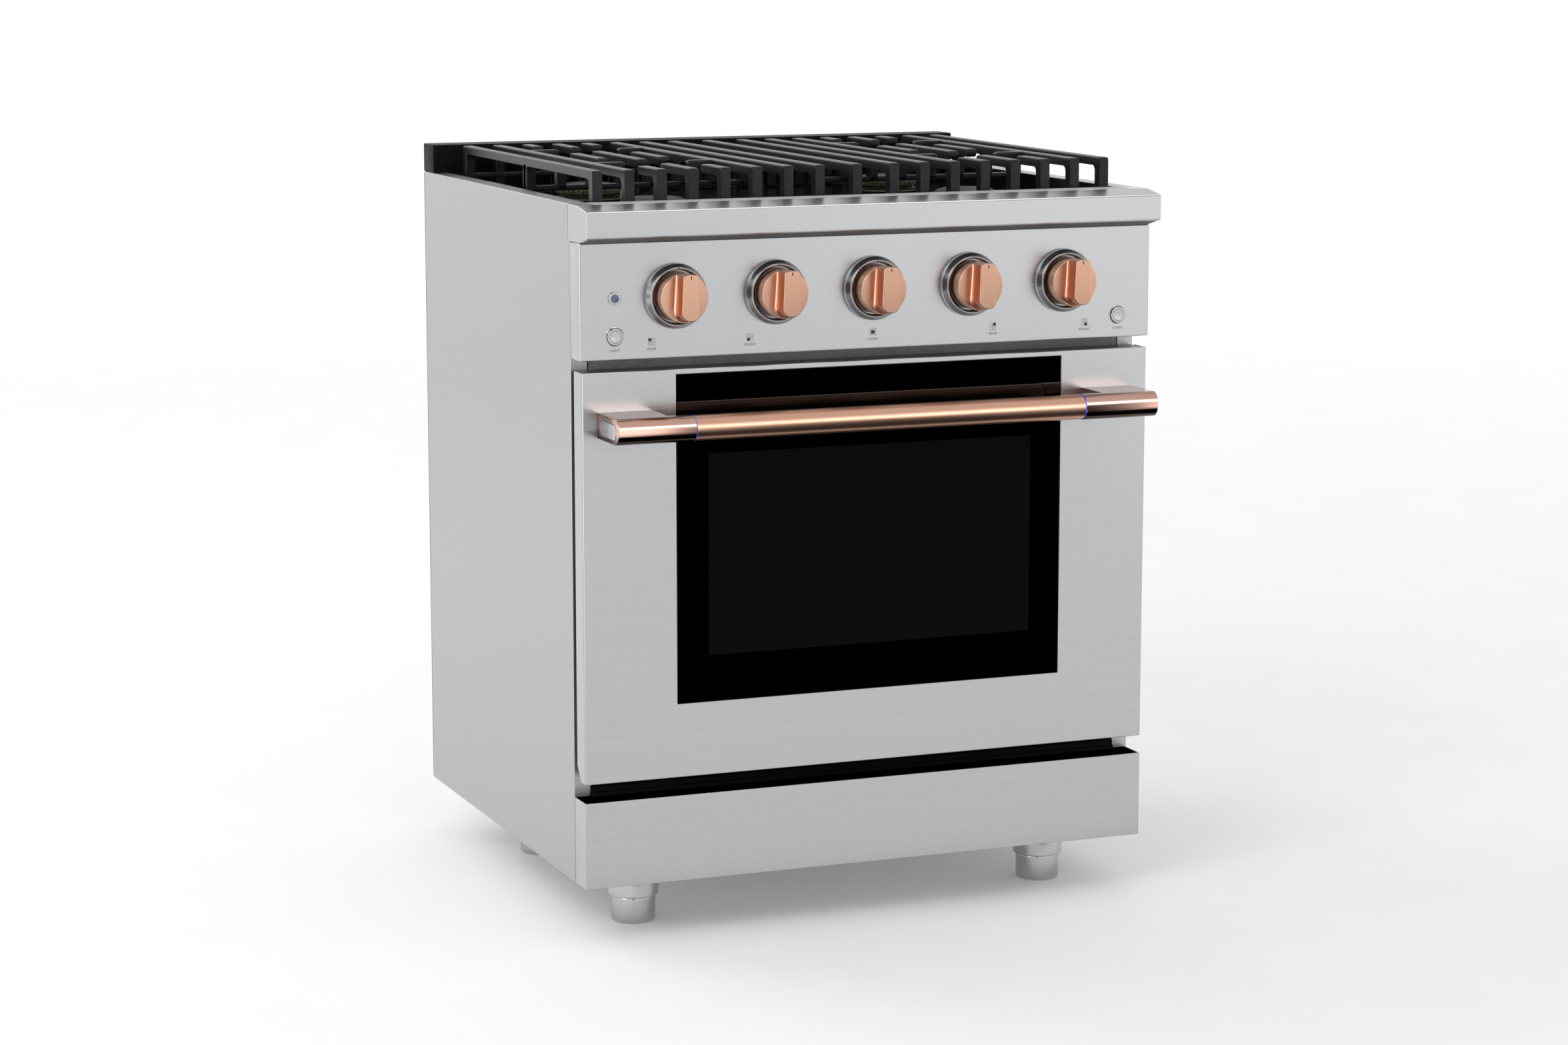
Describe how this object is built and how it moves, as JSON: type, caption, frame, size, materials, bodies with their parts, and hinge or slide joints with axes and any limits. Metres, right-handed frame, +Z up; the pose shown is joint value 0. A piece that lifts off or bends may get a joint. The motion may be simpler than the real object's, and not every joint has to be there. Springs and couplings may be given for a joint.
{
  "type": "freestanding gas range",
  "caption": "Steel kitchen range with a drop-down oven door, tubular handle, five front controls, a gas cooktop under cast-iron grates and adjustable legs.",
  "frame": {"origin": "on the floor under the middle of the overall box, with the door shut", "axes": "+Z up; the front faces -Y; +X is to the right as seen from the front"},
  "size_m": [0.762, 0.726, 0.946],
  "materials": {
    "brushed_steel": "stainless sheet with a fine straight brushed grain",
    "rose_gold": "satin rose-gold coating on metal",
    "polished_steel": "polished",
    "cast_iron": "matte black enamelled casting",
    "black_enamel": "semi-gloss black enamel on steel sheet",
    "black_sheet": "satin black coated steel sheet",
    "door_glass": "black mirrored oven glass",
    "burner_alloy": "cast, dull",
    "galvanised_steel": "dull zinc-coated sheet",
    "lamp_lens": "translucent moulded lens"
  },
  "bodies": {
    "cabinet": {"left_side_panel": "brushed_steel", "right_side_panel": "brushed_steel", "kick_panel": "brushed_steel", "top_rail": "brushed_steel", "control_panel": "brushed_steel", "door_hinge_left": "brushed_steel", "door_hinge_right": "brushed_steel", "knob_bezel_rear_left": "brushed_steel", "knob_bezel_front_left": "brushed_steel", "knob_bezel_oven": "brushed_steel", "knob_bezel_rear_right": "brushed_steel", "knob_bezel_front_right": "brushed_steel", "leg_sleeve_front_left": "polished_steel", "leg_sleeve_front_right": "polished_steel", "leg_sleeve_rear_left": "polished_steel", "leg_sleeve_rear_right": "polished_steel", "burner_cap_front_left": "cast_iron", "burner_cap_front_right": "cast_iron", "burner_cap_rear_left": "cast_iron", "burner_cap_rear_right": "cast_iron", "cooktop_pan": "black_enamel", "oven_cavity": "black_enamel", "fan_cover": "black_enamel", "front_frame": "black_sheet", "rear_vent_trim": "black_sheet", "burner_head_front_left": "burner_alloy", "burner_head_front_right": "burner_alloy", "burner_head_rear_left": "burner_alloy", "burner_head_rear_right": "burner_alloy", "back_panel": "galvanised_steel", "base_pan": "galvanised_steel", "gas_inlet": "galvanised_steel", "indicator_lamp": "lamp_lens"},
    "door": {"door_skin": "brushed_steel", "door_glass": "door_glass", "door_liner": "black_enamel", "door_inner_glass": "door_glass", "handle_bar": "rose_gold", "handle_bracket_left": "rose_gold", "handle_bracket_right": "rose_gold"},
    "rear_left_stem": {"valve_stem_rear_left": "galvanised_steel"},
    "rear_left_knob": {"knob_rear_left": "rose_gold"},
    "front_left_stem": {"valve_stem_front_left": "galvanised_steel"},
    "front_left_knob": {"knob_front_left": "rose_gold"},
    "oven_knob": {"knob_oven": "rose_gold"},
    "rear_right_stem": {"valve_stem_rear_right": "galvanised_steel"},
    "rear_right_knob": {"knob_rear_right": "rose_gold"},
    "front_right_stem": {"valve_stem_front_right": "galvanised_steel"},
    "front_right_knob": {"knob_front_right": "rose_gold"},
    "light_button_cap": {"light_button": "brushed_steel"},
    "convection_button_cap": {"convection_button": "brushed_steel"},
    "foot_front_left": {"leg_foot_front_left": "polished_steel"},
    "foot_front_right": {"leg_foot_front_right": "polished_steel"},
    "foot_rear_left": {"leg_foot_rear_left": "polished_steel"},
    "foot_rear_right": {"leg_foot_rear_right": "polished_steel"},
    "grate_left_body": {"grate_left": "cast_iron"},
    "grate_right_body": {"grate_right": "cast_iron"},
    "grate_centre_body": {"grate_centre": "cast_iron"},
    "rack": {"oven_rack": "polished_steel"},
    "fan": {"convection_fan": "galvanised_steel"}
  },
  "joints": [
    {"name": "door_hinge", "type": "hinge", "parent": "cabinet", "child": "door", "pos_m": [0, -0.2675, 0.214], "axis": [1, 0, 0], "range_deg": [0, 88], "stiffness_Nm_per_rad": 22, "springref_deg": -14.32},
    {"name": "rear_left_knob_turn", "type": "hinge", "parent": "cabinet", "child": "rear_left_stem", "pos_m": [-0.2594, -0.2895, 0.797], "axis": [0, -1, 0], "range_deg": [0, 270]},
    {"name": "rear_left_knob_push", "type": "slide", "parent": "rear_left_stem", "child": "rear_left_knob", "axis": [0, 1, 0], "range_m": [0, 0.003], "stiffness_N_per_m": 900, "springref_m": -0.003},
    {"name": "front_left_knob_turn", "type": "hinge", "parent": "cabinet", "child": "front_left_stem", "pos_m": [-0.1297, -0.2895, 0.797], "axis": [0, -1, 0], "range_deg": [0, 270]},
    {"name": "front_left_knob_push", "type": "slide", "parent": "front_left_stem", "child": "front_left_knob", "axis": [0, 1, 0], "range_m": [0, 0.003], "stiffness_N_per_m": 900, "springref_m": -0.003},
    {"name": "oven_knob_turn", "type": "hinge", "parent": "cabinet", "child": "oven_knob", "pos_m": [0, -0.2895, 0.797], "axis": [0, -1, 0], "range_deg": [0, 300]},
    {"name": "rear_right_knob_turn", "type": "hinge", "parent": "cabinet", "child": "rear_right_stem", "pos_m": [0.1297, -0.2895, 0.797], "axis": [0, -1, 0], "range_deg": [0, 270]},
    {"name": "rear_right_knob_push", "type": "slide", "parent": "rear_right_stem", "child": "rear_right_knob", "axis": [0, 1, 0], "range_m": [0, 0.003], "stiffness_N_per_m": 900, "springref_m": -0.003},
    {"name": "front_right_knob_turn", "type": "hinge", "parent": "cabinet", "child": "front_right_stem", "pos_m": [0.2594, -0.2895, 0.797], "axis": [0, -1, 0], "range_deg": [0, 270]},
    {"name": "front_right_knob_push", "type": "slide", "parent": "front_right_stem", "child": "front_right_knob", "axis": [0, 1, 0], "range_m": [0, 0.003], "stiffness_N_per_m": 900, "springref_m": -0.003},
    {"name": "light_button_push", "type": "slide", "parent": "cabinet", "child": "light_button_cap", "axis": [0, 1, 0], "range_m": [0, 0.002], "stiffness_N_per_m": 1200, "springref_m": -0.001},
    {"name": "convection_button_push", "type": "slide", "parent": "cabinet", "child": "convection_button_cap", "axis": [0, 1, 0], "range_m": [0, 0.002], "stiffness_N_per_m": 1200, "springref_m": -0.001},
    {"name": "foot_front_left_height", "type": "slide", "parent": "cabinet", "child": "foot_front_left", "axis": [0, 0, -1], "range_m": [0, 0.025]},
    {"name": "foot_front_right_height", "type": "slide", "parent": "cabinet", "child": "foot_front_right", "axis": [0, 0, -1], "range_m": [0, 0.025]},
    {"name": "foot_rear_left_height", "type": "slide", "parent": "cabinet", "child": "foot_rear_left", "axis": [0, 0, -1], "range_m": [0, 0.025]},
    {"name": "foot_rear_right_height", "type": "slide", "parent": "cabinet", "child": "foot_rear_right", "axis": [0, 0, -1], "range_m": [0, 0.025]},
    {"name": "grate_left_lift", "type": "slide", "parent": "cabinet", "child": "grate_left_body", "axis": [0, 0, 1], "range_m": [0, 0.12]},
    {"name": "grate_right_lift", "type": "slide", "parent": "cabinet", "child": "grate_right_body", "axis": [0, 0, 1], "range_m": [0, 0.12]},
    {"name": "grate_centre_lift", "type": "slide", "parent": "cabinet", "child": "grate_centre_body", "axis": [0, 0, 1], "range_m": [0, 0.12]},
    {"name": "rack_slide", "type": "slide", "parent": "cabinet", "child": "rack", "axis": [0, -1, 0], "range_m": [0, 0.034]},
    {"name": "fan_spin", "type": "hinge", "parent": "cabinet", "child": "fan", "pos_m": [0, 0.2455, 0.45], "axis": [0, 1, 0], "continuous": true}
  ]
}
